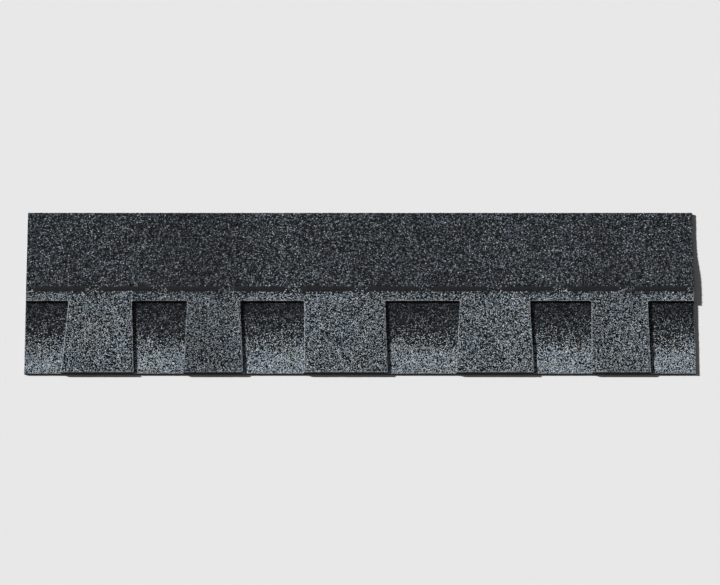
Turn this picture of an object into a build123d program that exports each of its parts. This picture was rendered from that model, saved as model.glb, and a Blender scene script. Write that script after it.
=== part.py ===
"""Laminated asphalt roofing shingle, lying face up on a level surface.

Two plies of asphalt-coated glass mat make one shingle. The top sheet is as deep as the
shingle and has bays cut up from its butt edge, which leaves a row of teeth. The backing
strip lies under the teeth, shows through the bays, and makes the shingle two plies thick
where the weather reaches it. Beads of laminating asphalt bond the two. Above the backing
strip the single ply droops onto the surface that the shingle lies on.

Millimetres. The origin is the centre of the shingle's outline, on that surface. +X runs
along the shingle, +Y from the butt edge to the head edge, +Z out of the weather face.
"""
import os
from math import atan, degrees, sin

from build123d import *

# Whole shingle
shingle_length = 1000.0
shingle_depth = 337.0
exposure = 143.0
ply_thickness = 2.6

# Die cut along the butt edge, from left to right. The last bay runs to the right end.
bays_before_teeth = (55.0, 74.0, 91.0, 102.0, 86.0)
tooth_widths = (108.0, 89.0, 124.0, 116.0, 88.0)
# How far each side of a tooth slants in by the time it reaches the top of the bays
left_leans = (9.5, 5.0, 0.0, 7.0, 1.5)
right_leans = (4.5, 5.5, 3.5, 5.0, 2.5)
bay_past_exposure = 6.0
bay_corner_radius = 3.0
tooth_corner_radius = 1.2

# Backing strip
strip_past_bays = 35.0
sheet_corner_radius = 1.5

# Laminating asphalt between the plies
bead_thickness = 0.4
lap_bead_width = 18.0
tooth_bead_width = 14.0
tooth_bead_heights = (18.0, 62.0, 106.0)
bead_side_margin = 9.0

# Droop of the single ply behind the backing strip
droop_run = 92.0

# Sealant dashes on the weather face
seal_height = 174.0
seal_width = 12.0
seal_thickness = 0.9
seal_edge_slope = 0.6
seal_pitch = 100.0
seal_gap = 20.0

# Release tape, pressed flush into the back of the strip
tape_width = 25.0
tape_thickness = 0.2
tape_height = 166.0

bay_depth = exposure + bay_past_exposure
strip_depth = bay_depth + strip_past_bays
top_underside = ply_thickness + bead_thickness
top_face = top_underside + ply_thickness
left_end = -shingle_length / 2
butt_edge = -shingle_depth / 2
head_edge = shingle_depth / 2


def tooth_spans():
    """Left end and right end of each tooth along the butt edge, with its leans."""
    spans = []
    x = left_end
    for bay, width, left_lean, right_lean in zip(
        bays_before_teeth, tooth_widths, left_leans, right_leans
    ):
        spans.append((x + bay, x + bay + width, left_lean, right_lean))
        x += bay + width
    return spans


def toothed_outline():
    """Plan of the top sheet: the headlap with the teeth hanging from it."""
    headlap_depth = shingle_depth - bay_depth
    headlap = Pos(0, head_edge - headlap_depth / 2) * Rectangle(shingle_length, headlap_depth)
    bay_top = butt_edge + bay_depth
    outline = headlap
    for x0, x1, left_lean, right_lean in tooth_spans():
        outline += make_face(
            Polyline(
                (x0, butt_edge),
                (x1, butt_edge),
                (x1 - right_lean, bay_top),
                (x0 + left_lean, bay_top),
                close=True,
            )
        )
    roots = [v for v in outline.vertices() if abs(v.Y - bay_top) < 0.01 and abs(v.X) < -left_end - 1]
    outline = fillet(roots, bay_corner_radius)
    tips = [v for v in outline.vertices() if abs(v.Y - butt_edge) < 0.01]
    return fillet(tips, tooth_corner_radius)


def top_sheet_section():
    """Side view of the top sheet: level over the strip, then two arcs down to the surface."""
    droop = top_underside
    droop_angle = 2 * atan(droop / droop_run)
    droop_radius = droop_run / (2 * sin(droop_angle))
    with BuildSketch(Plane.YZ) as section:
        with BuildLine():
            level = Line((butt_edge, top_underside), (butt_edge + strip_depth, top_underside))
            crest = JernArc(level @ 1, level % 1, droop_radius, -degrees(droop_angle))
            landing = JernArc(crest @ 1, crest % 1, droop_radius, degrees(droop_angle))
            Line(landing @ 1, (head_edge, 0))
            offset(amount=ply_thickness, side=Side.LEFT)
        make_face()
    return section.sketch


def top_sheet():
    slab = Pos(left_end, 0, 0) * extrude(top_sheet_section(), shingle_length, dir=(1, 0, 0))
    die = extrude(toothed_outline(), 2 * top_face)
    return slab & die


def backing_strip():
    centre_y = butt_edge + strip_depth / 2
    plan = Pos(0, centre_y) * RectangleRounded(shingle_length, strip_depth, sheet_corner_radius)
    recess = Pos(0, butt_edge + tape_height) * Rectangle(shingle_length, tape_width)
    return extrude(plan, ply_thickness) - extrude(recess, tape_thickness)


def bead(length, width, x, height):
    """A squeezed-out strip of asphalt with round ends, between the plies."""
    plan = Pos(x, butt_edge + height, ply_thickness) * SlotOverall(length, width)
    return extrude(plan, bead_thickness)


def laminating_adhesive():
    """One bead along the lap above the bays, and short ones under each tooth."""
    lap_height = bay_depth + strip_past_bays / 2
    beads = [bead(shingle_length - 2 * bead_side_margin, lap_bead_width, 0, lap_height)]
    for x0, x1, left_lean, right_lean in tooth_spans():
        for height in tooth_bead_heights:
            rise = height / bay_depth
            left = x0 + left_lean * rise + bead_side_margin
            right = x1 - right_lean * rise - bead_side_margin
            beads.append(bead(right - left, tooth_bead_width, (left + right) / 2, height))
    return Compound(children=beads)


def seal_strip():
    """A broken line of heat-activated sealant across the weather face."""
    count = int(shingle_length // seal_pitch)
    dash_plan = SlotOverall(seal_pitch - seal_gap, seal_width)
    dash = extrude(dash_plan, seal_thickness)
    dash = chamfer(dash.edges().group_by(Axis.Z)[-1], seal_edge_slope)
    first_x = -seal_pitch * (count - 1) / 2
    places = [Pos(first_x + i * seal_pitch, butt_edge + seal_height, top_face) for i in range(count)]
    return Compound(children=[place * dash for place in places])


def release_tape():
    plan = Pos(0, butt_edge + tape_height) * Rectangle(shingle_length, tape_width)
    return extrude(plan, tape_thickness)


os.makedirs("parts", exist_ok=True)
for node in (top_sheet, backing_strip, laminating_adhesive, seal_strip, release_tape):
    export_step(node(), f"parts/{node.__name__}.step")
    print(node.__name__)
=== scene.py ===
# %% [markdown]
# # A laminated shingle and its stone coat
#
# A laminated shingle is two plies of asphalt-soaked glass mat. The top ply has teeth cut along
# its butt edge, and the ply behind shows in the bays between them. What the eye sees is neither
# ply but the coat of crushed, kiln-coloured stone pressed into them, so most of this lesson is
# about some hundred thousand small stones: their shapes, their places and their colours.
#
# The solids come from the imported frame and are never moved. This first cell loads them and
# keeps the box they fill, which the finished model has to stay inside.

import random
from math import cos, pi, radians, sin

import bmesh
import bpy
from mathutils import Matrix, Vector


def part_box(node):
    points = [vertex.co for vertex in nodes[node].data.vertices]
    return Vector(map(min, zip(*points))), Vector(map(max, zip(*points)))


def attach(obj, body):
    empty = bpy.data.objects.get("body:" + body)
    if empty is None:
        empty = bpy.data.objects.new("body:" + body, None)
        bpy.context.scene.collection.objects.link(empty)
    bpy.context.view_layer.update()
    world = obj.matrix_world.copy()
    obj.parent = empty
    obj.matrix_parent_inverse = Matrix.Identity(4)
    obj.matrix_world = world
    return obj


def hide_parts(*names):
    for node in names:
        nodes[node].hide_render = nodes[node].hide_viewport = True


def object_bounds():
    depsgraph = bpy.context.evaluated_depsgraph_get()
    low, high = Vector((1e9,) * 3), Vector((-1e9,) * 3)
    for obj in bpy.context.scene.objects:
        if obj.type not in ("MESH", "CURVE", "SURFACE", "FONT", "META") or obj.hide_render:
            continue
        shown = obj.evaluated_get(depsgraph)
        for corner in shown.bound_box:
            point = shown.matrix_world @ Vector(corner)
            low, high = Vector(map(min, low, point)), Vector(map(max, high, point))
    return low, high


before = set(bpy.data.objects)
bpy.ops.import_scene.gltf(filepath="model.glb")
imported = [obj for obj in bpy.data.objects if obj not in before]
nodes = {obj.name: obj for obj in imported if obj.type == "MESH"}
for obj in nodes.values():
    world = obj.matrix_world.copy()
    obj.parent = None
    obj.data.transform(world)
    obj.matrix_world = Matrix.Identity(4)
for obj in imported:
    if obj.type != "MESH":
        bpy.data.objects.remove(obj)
cad_low, cad_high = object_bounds()
print("frame box, mm:", [round(1000 * v, 1) for v in (*cad_low, *cad_high)])

# %% [markdown]
# ## Landmarks
#
# Everything is placed by a few lines that run along the shingle: the butt edge, the exposure
# line, above which a laid shingle is covered, and the upper edge of the backing strip. They are
# read from the solids where a solid has them. Metres, as in the frame.

# %% Lines along the shingle
MM = 0.001
sheet_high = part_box("top_sheet")[1]
strip_low, strip_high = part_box("backing_strip")
seal_low, seal_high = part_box("seal_strip")

butt_y = strip_low.y
lap_y = strip_high.y
exposure = 143 * MM
exposure_y = butt_y + exposure
print("butt", butt_y, "exposure", exposure_y, "lap", lap_y)

# %% [markdown]
# ## Nodes written as sums
#
# Shader and geometry trees are both made of nodes whose sockets are linked. Written out one
# link at a time, a formula is hard to read, so a `Wire` wraps one output socket and Python's
# operators on it add the Math nodes.

# %% Wire
class Wire:
    """One output socket. Operators on it add Math nodes to its graph."""

    def __init__(self, graph, socket):
        self.graph, self.socket = graph, socket

    def math(self, operation, *values):
        return self.graph.node("ShaderNodeMath", {"operation": operation}, values)

    def __add__(self, other):
        return self.math("ADD", self, other)

    def __sub__(self, other):
        return self.math("SUBTRACT", self, other)

    def __rsub__(self, other):
        return self.math("SUBTRACT", other, self)

    def __mul__(self, other):
        return self.math("MULTIPLY", self, other)

    def __truediv__(self, other):
        return self.math("DIVIDE", self, other)

    def __rtruediv__(self, other):
        return self.math("DIVIDE", other, self)

    def __gt__(self, other):
        return self.math("GREATER_THAN", self, other)

    def __lt__(self, other):
        return self.math("LESS_THAN", self, other)

    def __or__(self, other):
        return self.math("MAXIMUM", self, other)

    def __abs__(self):
        return self.math("ABSOLUTE", self)

    __radd__ = __add__
    __rmul__ = __mul__

    def floor(self):
        return self.math("FLOOR", self)

    def fraction(self):
        return self.math("FRACT", self)

    def smooth(self, low, high):
        """0 below low, 1 above high, and an even S between."""
        settings = {"interpolation_type": "SMOOTHSTEP"}
        values = {"Value": self, "From Min": low, "From Max": high}
        return self.graph.node("ShaderNodeMapRange", settings, values)

    def part(self, axis):
        """The X, Y or Z of a vector."""
        return self.graph.node("ShaderNodeSeparateXYZ", {}, [self], axis)

    def beside(self, output):
        """Another output of the same node."""
        return Wire(self.graph, self.socket.node.outputs[output])


# %% [markdown]
# `Graph.node` is the one way that nodes are made. It sets a node's own settings first, such as
# a Math node's operation or a ramp's stops, because they decide which sockets the node has. The
# sockets come next, by order or by name: a wire is linked, each wire of a list is linked to the
# same socket, and anything else is a constant.

# %% Graph
class Graph:
    """A node tree and the one method that adds to it."""

    def __init__(self, tree):
        self.tree = tree

    def node(self, kind, settings=None, values=(), output=0):
        """Adds a node and gives back the wire of one of its outputs."""
        made = self.tree.nodes.new(kind)
        for name, setting in (settings or {}).items():
            if name == "stops":
                self.set_stops(made.color_ramp, setting)
            else:
                setattr(made, name, setting)
        pairs = values.items() if isinstance(values, dict) else enumerate(values)
        for key, value in pairs:
            self.plug(value, made.inputs[key])
        return Wire(self, made.outputs[output]) if made.outputs else None

    def plug(self, value, socket):
        if isinstance(value, list):
            for wire in value:
                self.plug(wire, socket)
        elif isinstance(value, Wire):
            self.tree.links.new(value.socket, socket)
        else:
            socket.default_value = value

    def set_stops(self, ramp, stops):
        while len(ramp.elements) < len(stops):
            ramp.elements.new(1.0)
        for element, (place, colour) in zip(ramp.elements, stops):
            element.position = place
            element.color = (*colour, 1.0)

    def vector(self, operation, *values):
        return self.node("ShaderNodeVectorMath", {"operation": operation}, values)

    def scaled(self, vector, factor):
        return self.node("ShaderNodeVectorMath", {"operation": "SCALE"}, {0: vector, "Scale": factor})

    def together(self, *parts):
        """A vector from its X, Y and Z. A part that isn't given is 0."""
        return self.node("ShaderNodeCombineXYZ", {}, parts)


# %% [markdown]
# ## Camera
#
# The shingle in the photograph is seen from a long way off: its edges stay parallel, and its
# exposed depth measures 0.71 of the real one, which is what a view at 45.5 degrees to its
# plane makes of it. So the lens is long and the camera far back, looking along +Y and down at
# that angle. The lens follows from how wide the shingle should lie in the picture.

# %% Camera
view_elevation = radians(45.5)
camera_distance = 20.0
picture_width = 720
shingle_on_picture = 668
sensor_width = 36.0
seen_width = (cad_high.x - cad_low.x) * picture_width / shingle_on_picture

target = (cad_low + cad_high) / 2
camera_data = bpy.data.cameras.new("camera")
camera_data.sensor_width = sensor_width
camera_data.lens = sensor_width * camera_distance / seen_width
camera = bpy.data.objects.new("camera", camera_data)
away = Vector((0, -cos(view_elevation), sin(view_elevation)))
camera.location = target + camera_distance * away
camera.rotation_euler = away.to_track_quat("Z", "Y").to_euler()
bpy.context.scene.collection.objects.link(camera)
bpy.context.scene.camera = camera
print("lens, mm:", round(camera_data.lens))

# %% [markdown]
# ## Light
#
# Beside each tooth lies a shadow, and one under each edge. Their widths give the light's
# direction: for each millimetre of height the shadow runs 2.0 mm to the right and 0.9 mm
# towards the butt. A low light like that is what makes every stone stand out. The world fills
# the shadows a little. Together the two light a level surface at a plain level, where a colour
# looks as it is written, so the key's energy is what the fill leaves over, divided by how
# squarely it strikes such a surface.
#
# The camera and glossy things see a paler sky than the one that lights.

# %% Key light and world
to_light = Vector((-2.0, 0.87, 1.0)).normalized()
key_width = radians(3.5)
fill_level = 0.08
level_on_floor = 1.0
key_data = bpy.data.lights.new("key", "SUN")
key_data.energy = pi * (level_on_floor - fill_level) / to_light.z
key_data.angle = key_width
key = bpy.data.objects.new("key", key_data)
key.rotation_euler = to_light.to_track_quat("Z", "Y").to_euler()
bpy.context.scene.collection.objects.link(key)

pale_sky = 0.9
world = bpy.data.worlds.new("studio")
world.use_nodes = True
bpy.context.scene.world = world
sky = Graph(world.node_tree)
sky.tree.nodes.clear()
camera_ray = sky.node("ShaderNodeLightPath", {}, (), "Is Camera Ray")
seen = camera_ray | camera_ray.beside("Is Glossy Ray") | camera_ray.beside("Is Transmission Ray")
strength = fill_level + seen * (pale_sky - fill_level)
glow = sky.node("ShaderNodeBackground", {}, {"Color": (1, 1, 1, 1), "Strength": strength})
sky.node("ShaderNodeOutputWorld", {}, [glow])
bpy.context.scene.view_settings.view_transform = "Standard"
print("key energy", round(key_data.energy, 2))

# %% [markdown]
# ## Finishes
#
# A finish is a material with one Principled shader. Numbers that are the same all over go
# straight on that shader. What varies is added by the finish's own function, from a few
# patterns that read a place: smooth noise, and cells, which give a flat colour each or the
# distance to their middles. A pattern's scale is how many of its features fit in a metre: at
# 24 a patch is some 40 mm wide, and at 1500 a cell is a grain of sand.

# %% Finish
class Finish(Graph):
    """A material's graph, with its Principled shader ready."""

    def __init__(self, name, colour, roughness, **constants):
        self.material = bpy.data.materials.new(name)
        self.material.use_nodes = True
        self.material.diffuse_color = (*colour, 1.0)
        super().__init__(self.material.node_tree)
        self.shader = self.tree.nodes["Principled BSDF"]
        self.shader.inputs["Base Color"].default_value = (*colour, 1.0)
        self.shader.inputs["Roughness"].default_value = roughness
        for label, value in constants.items():
            self.shader.inputs[label.replace("_", " ")].default_value = value

    def set(self, label, wire):
        self.plug(wire, self.shader.inputs[label])

    def relief(self, height, distance, strength):
        values = {"Height": height, "Distance": distance, "Strength": strength}
        self.set("Normal", self.node("ShaderNodeBump", {}, values))

    def place(self):
        return self.node("ShaderNodeTexCoord", {}, (), "Object")

    def facing(self):
        """1 on a face that looks straight up, -1 on one that looks down."""
        return self.node("ShaderNodeTexCoord", {}, (), "Normal").part(2)

    def attribute(self, name, output="Vector"):
        return self.node("ShaderNodeAttribute", {"attribute_name": name}, (), output)

    def noise(self, at, scale, detail=2.0, roughness=0.5):
        values = {"Vector": at, "Scale": scale, "Detail": detail, "Roughness": roughness}
        return self.node("ShaderNodeTexNoise", {}, values)

    def cells(self, at, scale, output="Distance", feature="F1"):
        values = {"Vector": at, "Scale": scale}
        return self.node("ShaderNodeTexVoronoi", {"feature": feature}, values, output)

    def blend(self, share, a, b, way="MIX"):
        settings = {"data_type": "RGBA", "blend_type": way}
        return self.node("ShaderNodeMix", settings, {"Factor": share, "A": a, "B": b}, "Result")

    def ramp(self, at, stops, interpolation="LINEAR"):
        made = self.node("ShaderNodeValToRGB", {"stops": stops}, [at])
        made.socket.node.color_ramp.interpolation = interpolation
        return made


# %% [markdown]
# ## Floor
#
# A pale, matt floor keeps the shadow of the thin plies, which is all that shows how thick they
# are from above. It is one large square, a hair under the shingle, and no part of the object.

# %% Floor
floor_half_width = 30.0
floor_paint = Finish("floor_paint", (0.80, 0.80, 0.80), 0.9, Specular_IOR_Level=0.1)
hair = 0.02 * MM
floor_z = cad_low.z - hair
floor_mesh = bpy.data.meshes.new("floor")
floor_corners = [(-1, -1), (1, -1), (1, 1), (-1, 1)]
floor_mesh.from_pydata(
    [(floor_half_width * x, floor_half_width * y, floor_z) for x, y in floor_corners],
    [], [(0, 1, 2, 3)],
)
floor_mesh.materials.append(floor_paint.material)
floor = bpy.data.objects.new("floor", floor_mesh)
bpy.context.scene.collection.objects.link(floor)
print("floor at z, mm:", round(floor_z / MM, 2))

# %% [markdown]
# ## Crushed stone
#
# Granules are crushed rock, sieved to between about one and two millimetres: chips with a few
# flat breaks, and no two alike. A chip here is the hull of a ring of points and a few points
# above it. The ring lies a little under the sheet's face, so that a stone that leans is still
# bedded all round, and the face down in the asphalt is left off. That leaves few enough
# triangles to lay a hundred thousand. Turned, stretched and tilted at random, ten kinds do.
#
# Each chip carries a map of its own plan. The coat later gives every stone a small square of
# the texture map, and this plan is what lands in that square.

# %% Chips
chip_draws = random.Random(11)
ring_and_top_points = [(5, 2), (4, 3), (5, 2), (4, 2), (5, 3), (5, 1), (5, 2), (6, 2), (4, 3), (5, 2)]
chip_bedded = 0.3
ring_reach, ring_wander = (0.85, 1.15), 0.25
top_reach, top_wander = (0.35, 0.68), 0.3
top_rise = (0.75, 1.0)


def crushed_chip(name, ring_points, top_points):
    """A chip about 1 unit in radius and 1 high over the sheet, open below."""
    bm = bmesh.new()
    first_turn = chip_draws.uniform(0, 2 * pi)
    for i in range(ring_points):
        turn = first_turn + 2 * pi * (i + chip_draws.uniform(-ring_wander, ring_wander)) / ring_points
        reach = chip_draws.uniform(*ring_reach)
        bm.verts.new((reach * cos(turn), reach * sin(turn), -chip_bedded))
    for i in range(top_points):
        turn = first_turn + 2 * pi * (i + chip_draws.uniform(-top_wander, top_wander)) / top_points
        reach = chip_draws.uniform(*top_reach)
        bm.verts.new((reach * cos(turn), reach * sin(turn), chip_draws.uniform(*top_rise)))
    bmesh.ops.convex_hull(bm, input=bm.verts)
    bm.normal_update()
    bedded = [face for face in bm.faces if face.normal.z < -0.5]
    bmesh.ops.delete(bm, geom=bedded, context="FACES")
    plan = bm.loops.layers.uv.new("OFBake")
    for face in bm.faces:
        for loop in face.loops:
            loop[plan].uv = loop.vert.co.xy
    mesh = bpy.data.meshes.new(name)
    bm.to_mesh(mesh)
    bm.free()
    return bpy.data.objects.new(name, mesh)


chips = bpy.data.collections.new("chips")
for i, (ring_points, top_points) in enumerate(ring_and_top_points):
    chips.objects.link(crushed_chip(f"chip_{i}", ring_points, top_points))

# %% [markdown]
# ## Geometry trees
#
# What repeats is set out by Geometry Nodes. `Growth` is a graph for them: it gives the tree its
# named inputs and has a method for each small group of nodes, such as draws of chance, or one
# of several parts picked at random for each point. A tree ends in plain mesh with its material
# set.

# %% Growth
highest_cover = 10 * MM


class Growth(Graph):
    """A geometry tree. `given` holds the wire of each named input."""

    def __init__(self, name, **inputs):
        super().__init__(bpy.data.node_groups.new(name, "GeometryNodeTree"))
        for label, kind in inputs.items():
            self.tree.interface.new_socket(label, in_out="INPUT", socket_type="NodeSocket" + kind)
        self.tree.interface.new_socket("Geometry", in_out="OUTPUT", socket_type="NodeSocketGeometry")
        entry = self.node("NodeGroupInput")
        self.given = {label: entry.beside(label) for label in inputs}
        self.number = self.node("GeometryNodeInputIndex")
        self.position = self.node("GeometryNodeInputPosition")

    def shape_of(self, label):
        return self.node("GeometryNodeObjectInfo", {}, {"Object": self.given[label]}, "Geometry")

    def kept(self, geometry, where, domain="POINT"):
        return self.node("GeometryNodeSeparateGeometry", {"domain": domain}, [geometry, where])

    def distance_to(self, surface, at=None):
        values = {0: surface, "Source Position": at or self.position}
        return self.node("GeometryNodeProximity", {"target_element": "FACES"}, values, "Distance")

    def under(self, cover):
        """1 where a ray straight up meets the cover."""
        values = {"Target Geometry": cover, "Ray Direction": (0, 0, 1), "Ray Length": highest_cover}
        return self.node("GeometryNodeRaycast", {}, values, "Is Hit")

    def draws(self, low, high, seed):
        """Three draws of chance for each point, between low and high."""
        values = {"Min": low, "Max": high, "ID": self.number, "Seed": seed}
        return self.node("FunctionNodeRandomValue", {"data_type": "FLOAT_VECTOR"}, values)

    def store(self, geometry, name, value, kind="FLOAT_VECTOR", domain="POINT"):
        settings = {"data_type": kind, "domain": domain}
        values = {"Geometry": geometry, "Name": name, "Value": value}
        return self.node("GeometryNodeStoreNamedAttribute", settings, values)

    def stored(self, name, kind="FLOAT_VECTOR"):
        return self.node("GeometryNodeInputNamedAttribute", {"data_type": kind}, {"Name": name})

    def parts_on(self, points, parts, count, seed, **lie):
        """One of the parts, picked by chance, as real mesh on each point."""
        values = {"Collection": parts, "Separate Children": True, "Reset Children": True}
        kinds = self.node("GeometryNodeCollectionInfo", {}, values)
        values = {"Min": 0, "Max": count - 1, "ID": self.number, "Seed": seed}
        which = self.node("FunctionNodeRandomValue", {"data_type": "INT"}, values, "Value")
        values = {"Points": points, "Instance": kinds, "Pick Instance": True, "Instance Index": which}
        laid = self.node("GeometryNodeInstanceOnPoints", {}, {**values, **lie})
        return self.node("GeometryNodeRealizeInstances", {}, [laid])

    def end(self, geometry, material):
        values = {"Geometry": geometry, "Material": material}
        self.node("NodeGroupOutput", {}, [self.node("GeometryNodeSetMaterial", {}, values)])
        return self.tree


# %% [markdown]
# A tree runs on an object that holds nothing. Its inputs are set by each socket's identifier
# before it is first evaluated, and what comes out is kept as a plain mesh that rides on the
# one body.

# %% From tree to plain mesh
def grow(tree, name, slot, **values):
    host = bpy.data.objects.new(name + "_host", bpy.data.meshes.new(name + "_host"))
    bpy.context.scene.collection.objects.link(host)
    modifier = host.modifiers.new("tree", "NODES")
    modifier.node_group = tree
    for item in tree.interface.items_tree:
        if item.in_out == "INPUT":
            modifier[item.identifier] = values[item.name]
    graph = bpy.context.evaluated_depsgraph_get()
    mesh = bpy.data.meshes.new_from_object(host.evaluated_get(graph), depsgraph=graph)
    mesh.name = name
    bpy.data.objects.remove(host)
    piece = bpy.data.objects.new(name, mesh)
    bpy.context.scene.collection.objects.link(piece)
    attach(piece, "root")
    triangles = sum(len(face.vertices) - 2 for face in mesh.polygons)
    print(name, len(mesh.polygons), "faces,", triangles, "triangles")
    return piece


# %% [markdown]
# ## Pressing the stones in
#
# A sheet is pressed with more stone than it can hold, so the stones lie as close as they fit.
# Distribute Points on Faces with a least distance gives just that. The first function fills
# the sheet that way up to a margin along its edges.
#
# The die cuts through the coat, and what shows at a cut is a row of stones standing right at
# the edge. Left to chance that row would have holes that look like notches, so the second
# function lays it on purpose: the outline of the top face becomes a curve, the curve becomes
# evenly spaced points, and each point steps inwards, to the side where the sheet is.

# %% Seats for the stones
weld = 0.01 * MM
tries_per_place = 6.0
row_spacing = 0.9
row_clearance = 0.65


def seats_over(g, top, from_edge):
    """As many seats as fit, clear of the row along the edges."""
    pitch = g.given["pitch"]
    values = {
        "Mesh": top, "Distance Min": pitch, "Density Max": tries_per_place / (pitch * pitch),
        "Seed": g.given["seed"],
    }
    field = g.node("GeometryNodeDistributePointsOnFaces", {"distribute_method": "POISSON"}, values)
    return g.kept(field, from_edge > g.given["inset"] + row_clearance * pitch)


def seats_along_edges(g, top):
    """One row of seats just inside the outline of the top face."""
    whole = g.node("GeometryNodeMergeByDistance", {}, {"Geometry": top, "Distance": weld})
    has_one_face = g.node("GeometryNodeInputMeshEdgeNeighbors") < 1.5
    outline = g.node("GeometryNodeMeshToCurve", {}, {"Mesh": whole, "Selection": has_one_face})
    spacing = row_spacing * g.given["pitch"]
    row = g.node("GeometryNodeCurveToPoints", {"mode": "LENGTH"}, {"Curve": outline, "Length": spacing})
    across = g.vector("CROSS_PRODUCT", row.beside("Tangent"), (0, 0, 1))
    step = g.scaled(across, g.given["inset"])
    landing = g.vector("ADD", g.position, step)
    off_sheet = g.distance_to(top, landing) > 0.5 * g.given["inset"]
    step = g.scaled(step, 1 - 2 * off_sheet)
    return g.node("GeometryNodeSetPosition", {}, {"Geometry": row, "Offset": step})


# %% [markdown]
# Each stone remembers where it sits, three draws of chance, its number, and how far and which
# way the nearest cut is. One stone has one colour, so the finishes read these and not the
# place of the surface.
#
# A stone is turned any way round and leans a little. Beside a cut it is also rolled outwards,
# as the die presses it over the edge. On the side that faces the light these stones catch it
# and draw a thin bright line along the tooth.

# %% How a stone lies
lean = radians(28)
least_stretch, most_stretch = (0.72, 0.72, 0.45), (1.15, 1.15, 1.2)
rolled_over = 1.1
roll_reach = 1.9 * MM


def remember(g, seats, edge):
    seats = g.store(seats, "seat", g.position)
    seats = g.store(seats, "luck", g.draws((0, 0, 0), (1, 1, 1), 3))
    seats = g.store(seats, "stone", g.number, "FLOAT")
    seats = g.store(seats, "cut", edge.beside("Distance"), "FLOAT")
    return g.store(seats, "outward", g.vector("SUBTRACT", edge, g.position))


def turn_of_stone(g):
    turn = g.draws((-lean, -lean, 0), (lean, lean, 2 * pi), 7)
    beside_cut = 1 - g.stored("cut", "FLOAT").smooth(g.given["inset"], roll_reach)
    outward = g.vector("NORMALIZE", g.stored("outward"))
    up = g.vector("ADD", g.scaled(outward, rolled_over * beside_cut), (0, 0, 1))
    rolled = g.node("FunctionNodeAlignRotationToVector", {"axis": "Z"}, {"Vector": up})
    return g.node("FunctionNodeRotateRotation", {"rotation_space": "LOCAL"}, [rolled, turn])


def size_of_stone(g):
    radius = g.given["stone_radius"]
    size = g.together(radius, radius, g.given["stone_height"])
    return g.vector("MULTIPLY", g.draws(least_stretch, most_stretch, 9), size)


# %% [markdown]
# The exported model keeps its colours in a texture, so each stone needs its own place on the
# texture map. The map is divided into as many squares as there are stones, and the plan that
# the chip carries is set in the middle of the stone's square, with room around it.

# %% A square of the map for each stone
share_of_square = 0.28


def mapped(g, stones, seats):
    count = g.node("GeometryNodeAttributeDomainSize", {"component": "POINTCLOUD"}, [seats])
    squares = count.math("CEIL", count.math("SQRT", count))
    number = g.stored("stone", "FLOAT")
    row = (number / squares).floor()
    column = number - row * squares
    plan = g.stored("OFBake")
    u = (column + 0.5 + plan.part(0) * share_of_square) / squares
    v = (row + 0.5 + plan.part(1) * share_of_square) / squares
    return g.store(stones, "OFBake", g.together(u, v), "FLOAT2", "CORNER")


# %% [markdown]
# The whole tree: only faces that look up are coated, and no stone lies where something covers
# the sheet, a tooth over the backing strip or the sealant over the top sheet. A seat is bare
# when the cover is further off than a set gap and a ray straight up misses it. The slitting
# knives cut stones off flush with the ends, so the last step holds every point inside the box
# of the frame.

# %% The stone coat tree
def stone_coat_tree():
    g = Growth(
        "stone_coat", sheet="Object", cover="Object", chips="Collection", finish="Material",
        pitch="Float", stone_radius="Float", stone_height="Float", inset="Float", cover_gap="Float",
        from_y="Float", to_y="Float", box_low="Vector", box_high="Vector", seed="Int",
    )
    looks_up = g.node("GeometryNodeInputNormal").part(2) > 0.5
    top = g.kept(g.shape_of("sheet"), looks_up, "FACE")
    sides = top.beside("Inverted")
    edge = g.distance_to(sides).beside("Position")
    both = [seats_over(g, top, edge.beside("Distance")), seats_along_edges(g, top)]
    seats = g.node("GeometryNodeJoinGeometry", {}, [both])

    y = g.position.part(1)
    in_band = (y > g.given["from_y"]) * (1 - (y > g.given["to_y"]))
    cover = g.shape_of("cover")
    bare = (g.distance_to(cover) > g.given["cover_gap"]) * (1 - g.under(cover))
    seats = remember(g, g.kept(seats, in_band * bare), edge)

    lie = {"Rotation": turn_of_stone(g), "Scale": size_of_stone(g)}
    stones = g.parts_on(seats, g.given["chips"], len(ring_and_top_points), 5, **lie)
    inside = g.vector("MAXIMUM", g.position, g.given["box_low"])
    inside = g.vector("MINIMUM", inside, g.given["box_high"])
    stones = g.node("GeometryNodeSetPosition", {}, {"Geometry": stones, "Position": inside})
    return g.end(mapped(g, stones, seats), g.given["finish"])


stone_coat = stone_coat_tree()
print("stone coat:", len(stone_coat.nodes), "nodes")

# %% [markdown]
# ## Stone colours
#
# Granules are coloured in a kiln in a few colours and then blended. What looks mid-grey from
# afar is nearly half black stones, with pale ones between them, some greys and a rare tan one.
# A blend is a ramp with hard steps: a stone's first draw picks its step, and its second makes
# it a little lighter or darker.

# %% Blends
black = (0.0055, 0.0062, 0.0070)
charcoal = (0.040, 0.045, 0.051)
slate = (0.105, 0.125, 0.144)
blue_grey = (0.175, 0.205, 0.238)
light_grey = (0.292, 0.345, 0.388)
white = (0.460, 0.530, 0.585)
bright = (0.700, 0.785, 0.845)
tan = (0.205, 0.182, 0.152)

granules = (black, charcoal, slate, blue_grey, light_grey, white, bright, tan)
tooth_blend = (0.44, 0.06, 0.05, 0.05, 0.11, 0.13, 0.15, 0.01)
light_blend = (0.30, 0.02, 0.02, 0.03, 0.08, 0.18, 0.36, 0.01)
shadow_blend = (0.64, 0.06, 0.07, 0.06, 0.05, 0.05, 0.063, 0.007)
headlap_blend = (0.44, 0.20, 0.14, 0.09, 0.08, 0.035, 0.005, 0.01)


def steps(blend):
    """Ramp stops for a blend: each colour starts where the shares before it end."""
    return [(sum(blend[:i]), colour) for i, colour in enumerate(granules)]


def mean_of(blend):
    return tuple(sum(share * colour[i] for share, colour in zip(blend, granules)) for i in range(3))


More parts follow.
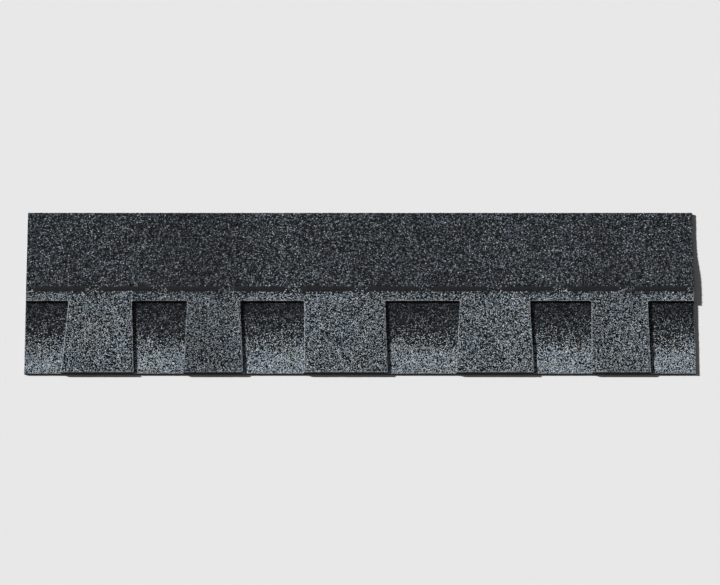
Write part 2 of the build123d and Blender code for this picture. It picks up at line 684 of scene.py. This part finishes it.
for blend_name, blend in (("teeth", tooth_blend), ("light", light_blend), ("shadow", shadow_blend)):
    print(blend_name, "mean", [round(v, 3) for v in mean_of(blend)])

# %% [markdown]
# The factory drops a blend in lengths that fade into each other, so a tooth can be a little
# lighter than the next, and one patch of it is a little cooler in colour than another. Beside
# the cuts of the die, most stones show pale rock. This is partly broken stone and partly a
# painted highlight for the light that catches the edge of each tooth.

# %% A finish for stones
cool, warm = (0.975, 1.00, 1.03), (1.025, 1.00, 0.97)
tint_scale = 24.0
least_shade, shade_range = 0.82, 0.36
least_roughness, roughness_range = 0.72, 0.2

chip_reach = 1.5 * MM
die_reach_y = exposure_y + 10 * MM
# Pale rock beside the cuts is partly broken stone and partly a painted highlight along each tooth
broken_and_highlight_share = 0.7
broken_rock_and_highlight = (0.42, 0.455, 0.48, 1.0)
rock_and_highlight_shows = 0.8
reshuffle = 13


def stone_finish(name, colour_of):
    """One colour a stone. colour_of gives its colour and how light the blend is there."""
    finish = Finish(name, mean_of(tooth_blend), 0.82, Specular_IOR_Level=0.03)
    seat = finish.attribute("seat")
    luck = finish.attribute("luck")
    pick, shade, chance = (luck.part(axis) for axis in range(3))

    colour, tone = colour_of(finish, seat, pick, chance)
    tint = finish.ramp(finish.noise(seat, tint_scale, 1.0), [(0.35, cool), (0.65, warm)])
    colour = finish.blend(1.0, colour, tint, "MULTIPLY")

    # The fraction of a draw times a whole number is as good as another draw
    at_cut = (finish.attribute("cut", "Fac") < chip_reach) * (seat.part(1) < die_reach_y)
    pale_at_cut = (reshuffle * shade).fraction() < broken_and_highlight_share
    # Stones beside a cut turn pale: partly broken rock, partly a painted highlight
    colour = finish.blend(rock_and_highlight_shows * at_cut * pale_at_cut, colour, broken_rock_and_highlight)
    finish.set("Base Color", finish.scaled(colour, tone * (least_shade + shade_range * shade)))
    finish.set("Roughness", least_roughness + roughness_range * shade)
    return finish.material


drop_scale, drop_start = 6.0, 2.0


def drops_along(finish, seat, contrast):
    """How light the blend is at this place along the shingle, about 1."""
    along = finish.together(seat.part(0) + drop_start)
    return 1 + contrast * (finish.noise(along, drop_scale, 1.0) - 0.5)


# %% [markdown]
# The top sheet has the tooth blend where the weather reaches it. Above the exposure line the
# stones are a plain dark blend that nobody sees once it is laid, and one blend gives way to the
# other stone by stone, each stone's third draw choosing between them.

# %% Stones of the top sheet
patchiness = 0.3
fade_from, fade_to = exposure_y + 12 * MM, exposure_y + 34 * MM
fade_wander = 8 * MM
tooth_contrast = 1.5


def top_colours(finish, seat, pick, chance):
    weather = finish.ramp(pick, steps(tooth_blend), "CONSTANT")
    plain = finish.ramp(pick, steps(headlap_blend), "CONSTANT")
    ragged = fade_wander * (finish.noise(seat, 14.0) - 0.5)
    hidden = (seat.part(1) + ragged).smooth(fade_from, fade_to)
    tone = drops_along(finish, seat, tooth_contrast) + patchiness * (finish.noise(seat, 38.0) - 0.5)
    return finish.blend(chance < hidden, weather, plain), tone


top_stones = stone_finish("top_stones", top_colours)
print(top_stones.name, "fades between y", round(fade_from, 3), "and", round(fade_to, 3))

# %% [markdown]
# In the bays a dark band of black stones is laid along the top, to look like the shadow of a
# thicker tooth. It thins out towards the butt, along a line that wanders a little. The stones
# that are left in it are also dimmed towards the top. That is partly a blacker band and partly
# painted shade, such as the butt of the next course up casts there on a roof. Heights are
# shares of the exposure.

# %% Stones in the bays
band_from, band_full = 0.16, 0.62
band_wander = 26 * MM
# Dimming towards the top of a bay: partly a blacker band, partly painted shade of the next course up
band_and_shade_from, band_and_shade_to, band_and_shade_depth = 0.50, 1.0, 0.72
bay_contrast = 0.5


def bay_colours(finish, seat, pick, chance):
    light = finish.ramp(pick, steps(light_blend), "CONSTANT")
    dark = finish.ramp(pick, steps(shadow_blend), "CONSTANT")
    ragged = band_wander * (finish.noise(seat, 17.0) - 0.5)
    height = (seat.part(1) + ragged - butt_y) / exposure
    in_band = chance < height.smooth(band_from, band_full)
    # Partly painted shade: every stone, pale ones too, is dimmed towards the top
    darker_band_and_shade = 1 - band_and_shade_depth * height.smooth(band_and_shade_from, band_and_shade_to)
    tone = drops_along(finish, seat, bay_contrast) + patchiness * (finish.noise(seat, 30.0) - 0.5)
    return finish.blend(in_band, light, dark), tone * darker_band_and_shade


bay_stones = stone_finish("bay_stones", bay_colours)
print(bay_stones.name, "darken from", band_from, "of the exposure")

# %% [markdown]
# ## The plies themselves
#
# Between the stones shows the bed they are pressed into: black asphalt with crushed dust in it.
# The cut edges show what a ply is made of, asphalt stiffened with ground limestone, with the
# glass mat as a thin fibrous line at half its thickness. The underside is dusted with fine sand
# so that shingles don't stick together in the pack. One function makes the material of either
# ply, which picks its look by which way a face looks. In the top sheet the mat line follows the
# droop behind the backing strip.

# %% Asphalt bed, cut edge and sanded back
ply_thickness = strip_high.z
lap_step = sheet_high.z - ply_thickness
droop_run = 92 * MM

bed_colours = [(0.0, (0.009, 0.009, 0.010)), (0.6, (0.014, 0.014, 0.016)), (1.0, (0.050, 0.054, 0.060))]
sand_colours = [(0.2, (0.035, 0.035, 0.036)), (0.5, (0.125, 0.124, 0.120)), (0.9, (0.34, 0.335, 0.32))]
core_colours = [(0.35, (0.022, 0.022, 0.024)), (0.62, (0.060, 0.060, 0.062)), (0.8, (0.17, 0.17, 0.165))]
glass_mat = (0.17, 0.16, 0.135, 1.0)
mat_wander = 0.5 * MM
mat_half_thickness, mat_gone = 0.08 * MM, 0.24 * MM
ply_relief = 0.15 * MM


def ply_finish(name, step_down_from=None):
    finish = Finish(name, (0.03, 0.03, 0.032), 0.7, Specular_IOR_Level=0.1)
    at = finish.place()
    up, down = finish.facing() > 0.5, finish.facing() < -0.5

    dust = finish.cells(at, 1300.0, "Color").part(0)
    bed = finish.ramp(dust, bed_colours)
    grains = finish.cells(at, 1500.0, "Color").part(1)
    sand = finish.ramp(0.75 * grains + 0.4 * finish.noise(at, 60.0, 3.0), sand_colours)
    crumbs = finish.noise(at, 2600.0, 3.0, 0.7)
    core = finish.ramp(crumbs, core_colours)

    mat_z = 0.5 * ply_thickness
    if step_down_from is not None:
        mat_z = mat_z + lap_step * (1 - at.part(1).smooth(step_down_from, step_down_from + droop_run))
    wander = mat_wander * (finish.noise(at, 320.0) - 0.5)
    mat = 1 - abs(at.part(2) - mat_z + wander).smooth(mat_half_thickness, mat_gone)
    fibres = finish.noise(at, 1400.0, 4.0, 0.8).smooth(0.40, 0.66)
    edge = finish.blend(mat * fibres, core, glass_mat)

    finish.set("Base Color", finish.blend(down, finish.blend(up, edge, bed), sand))
    finish.set("Roughness", 0.62 + 0.25 * down + 0.08 * crumbs)
    relief = finish.blend(down, finish.blend(up, crumbs, dust), grains)
    finish.relief(relief, ply_relief, 0.6)
    return finish.material


def wear(node, material):
    """Gives a solid from the frame its finish."""
    mesh = nodes[node].data
    mesh.materials.clear()
    mesh.materials.append(material)
    print(node, "wears", material.name)


wear("top_sheet", ply_finish("top_ply", lap_y))
wear("backing_strip", ply_finish("strip_ply"))

# %% [markdown]
# ## Adhesive and tape
#
# The laminating asphalt hardly shows: it is a black line between the plies. The release tape on
# the back is a clear film, which keeps the sealant of a neighbour in the pack off this shingle.
# It takes its look from the black sheet under it, and from the creases in the film. Real film
# would need light to pass through it and back, so the look is put straight in its colour: dark
# where it is stuck down, silvery where it has lifted. Its thin edge shows the black beside it.

# %% Laminating asphalt and release film
asphalt_colours = [(0.3, (0.006, 0.006, 0.007)), (0.7, (0.015, 0.015, 0.017))]
film_colours = [(0.38, (0.13, 0.133, 0.137)), (0.52, (0.34, 0.35, 0.36)), (0.72, (0.62, 0.63, 0.64))]
film_edge = (0.02, 0.02, 0.021, 1.0)
soft_relief = 0.5 * MM


def asphalt_finish(name, roughness):
    finish = Finish(name, (0.010, 0.010, 0.011), roughness, Specular_IOR_Level=0.08)
    at = finish.place()
    flow = finish.noise(at, 180.0, 3.0)
    stones_under = finish.cells(at, 560.0, "Distance", "SMOOTH_F1")
    finish.set("Base Color", finish.ramp(flow, asphalt_colours))
    finish.set("Roughness", roughness - 0.1 + 0.3 * finish.noise(at, 90.0, 2.0))
    finish.relief(0.5 * flow - stones_under, soft_relief, 1.0)
    return finish.material


def film_finish():
    finish = Finish("release_tape_film", (0.36, 0.37, 0.38), 0.2, Coat_Weight=0.5, Coat_Roughness=0.08)
    at = finish.place()
    pulled = finish.node("ShaderNodeMapping", {}, {"Vector": at, "Scale": (9.0, 420.0, 1.0)})
    slanted = {"Vector": at, "Rotation": (0, 0, 0.35), "Scale": (260.0, 34.0, 1.0)}
    crossed = finish.node("ShaderNodeMapping", {}, slanted)
    streaks = finish.noise(pulled, 1.0, 2.0)
    wrinkles = finish.noise(crossed, 1.0, 3.0).smooth(0.50, 0.72)
    stuck = finish.noise(at, 26.0, 4.0, 0.6)
    lifted = finish.ramp(0.45 * streaks + 0.55 * stuck + 0.25 * wrinkles, film_colours)
    finish.set("Base Color", finish.blend(finish.facing() < -0.5, film_edge, lifted))
    finish.set("Roughness", 0.10 + 0.3 * stuck)
    finish.relief(0.5 * streaks + wrinkles, soft_relief, 0.8)
    return finish.material


wear("laminating_adhesive", asphalt_finish("bond_asphalt", 0.55))
wear("release_tape", film_finish())

# %% [markdown]
# ## Sealant dashes
#
# The sealant is laid hot across the stones in dashes, so each is a low dome with a wavering
# edge and a smooth skin. The solid in the frame is a plain bar of nearly the same length, which
# a domed dash replaces. Its sizes are read from the bar's box. What wavers is a sum of a few
# sines, each with a random rate and start.

# %% Sizes of a dash
dash_count = 10
dash_kinds = 4
dash_pitch = 100 * MM
dash_width = seal_high.y - seal_low.y
dash_length = seal_high.x - seal_low.x - (dash_count - 1) * dash_pitch
dash_height = seal_high.z - sheet_high.z
dash_sunk = 0.15 * MM
dash_fills = 0.98
fullness = 0.88
edge_waver, crest_waver = 0.11, 0.10
crest_rounding = 0.6
slowest_wave, fastest_wave = 1, 9
dash_draws = random.Random(23)


def waves(count, size):
    """A function that wavers about 0, made of a few sines of random rate and start."""
    terms = []
    for _ in range(count):
        rate = dash_draws.uniform(slowest_wave, fastest_wave)
        terms.append((rate, dash_draws.uniform(0, 2 * pi)))
    return lambda t: size * sum(sin(2 * pi * rate * t + start) for rate, start in terms) / count


print("dash, mm:", [round(size / MM, 1) for size in (dash_length, dash_width, dash_height)])

# %% [markdown]
# A dash is built row by row along its length: each row is half an ellipse whose width and
# height waver and shrink to nothing at the round ends. The rows stand closer together towards
# the ends, where the outline turns fastest, and points that fall together there are merged.

# %% One dash
def sealant_dash(name, steps_along=64, steps_across=14):
    """A low dome along a bar with round ends, whose edge wavers and whose top ripples."""
    front, back, swell = waves(4, edge_waver), waves(4, edge_waver), waves(3, crest_waver)
    half_length, half_width = dash_fills * dash_length / 2, dash_width / 2
    bm = bmesh.new()
    rows = []
    for i in range(steps_along + 1):
        along = -cos(pi * i / steps_along)
        x = half_length * along
        from_end = max(0.0, half_length - abs(x)) / half_width
        round_end = (1 - (1 - min(1.0, from_end)) ** 2) ** 0.5
        reach = [half_width * round_end * (fullness + edge(along)) for edge in (front, back)]
        crest = dash_height * round_end ** crest_rounding * (fullness + swell(along))
        row = []
        for j in range(steps_across + 1):
            over = -cos(pi * j / steps_across)
            y = over * (reach[0] if over < 0 else reach[1])
            z = crest * (1 - over * over) ** 0.5 - dash_sunk
            row.append(bm.verts.new((x, y, max(z, -dash_sunk))))
        rows.append(row)
    for near, far in zip(rows, rows[1:]):
        for j in range(steps_across):
            bm.faces.new((near[j], far[j], far[j + 1], near[j + 1]))
    bmesh.ops.remove_doubles(bm, verts=bm.verts, dist=0.1 * hair)
    for face in bm.faces:
        face.smooth = True
    mesh = bpy.data.meshes.new(name)
    bm.to_mesh(mesh)
    bm.free()
    return bpy.data.objects.new(name, mesh)


dashes = bpy.data.collections.new("dashes")
for i in range(dash_kinds):
    dashes.objects.link(sealant_dash(f"dash_{i}"))

# %% [markdown]
# Geometry Nodes lay the line of dashes, and pick one of the four kinds at random for each.

# %% The line of dashes
def sealant_line_tree():
    g = Growth(
        "sealant_line", dashes="Collection", finish="Material", count="Int", start="Vector", pitch="Float",
    )
    values = {
        "Count": g.given["count"], "Start Location": g.given["start"],
        "Offset": g.together(g.given["pitch"]),
    }
    line = g.node("GeometryNodeMeshLine", {}, values)
    return g.end(g.parts_on(line, g.given["dashes"], dash_kinds, 4), g.given["finish"])


first_dash = Vector((seal_low.x + dash_length / 2, (seal_low.y + seal_high.y) / 2, sheet_high.z))
sealant = grow(
    sealant_line_tree(), "sealant_dashes", "sealant", dashes=dashes,
    finish=asphalt_finish("sealant_asphalt", 0.6), count=dash_count, start=first_dash, pitch=dash_pitch,
)
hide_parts("seal_strip")

# %% [markdown]
# ## Coating the sheets
#
# The stones come last, because they are laid up to the edge of the sealant. The part that the
# weather reaches has a fine grade of stone, and the part that stays covered a coarser one.
#
# The coat is made in bands, because a piece should stay under 200,000 triangles. The seed is
# the same for each band, so bands of one grade take their share of one and the same field of
# stones, and no seam shows.

# %% Coat the sheets
edge_inset = 0.35 * MM
fine_grade = {"pitch": 1.12 * MM, "stone_radius": 0.98 * MM, "stone_height": 0.62 * MM}
coarse_grade = {"pitch": 1.38 * MM, "stone_radius": 1.20 * MM, "stone_height": 0.76 * MM}
bay_coat = {
    "slot": "granule_strip", "sheet": nodes["backing_strip"], "finish": bay_stones,
    "cover": nodes["top_sheet"], "cover_gap": 0.35 * MM,
}
top_coat = {
    "slot": "granule_top", "sheet": nodes["top_sheet"], "finish": top_stones,
    "cover": sealant, "cover_gap": 0.2 * MM,
}
# Each coat with its grade and the heights above the butt edge, in mm, between which it lies
bands = [
    ("stones_bays_1", bay_coat, fine_grade, 0, 75),
    ("stones_bays_2", bay_coat, fine_grade, 75, 150),
    ("stones_top_1", top_coat, fine_grade, 0, 79),
    ("stones_top_2", top_coat, fine_grade, 79, 164),
    ("stones_top_3", top_coat, coarse_grade, 164, 222),
    ("stones_top_4", top_coat, coarse_grade, 222, 280),
    ("stones_top_5", top_coat, coarse_grade, 280, 337),
]
skin = Vector((hair, hair, hair))
for name, laid, grade, low_height, high_height in bands:
    grow(
        stone_coat, name, chips=chips, seed=1, inset=edge_inset, **laid, **grade,
        from_y=butt_y + low_height * MM, to_y=butt_y + high_height * MM,
        box_low=cad_low + skin, box_high=cad_high - skin,
    )
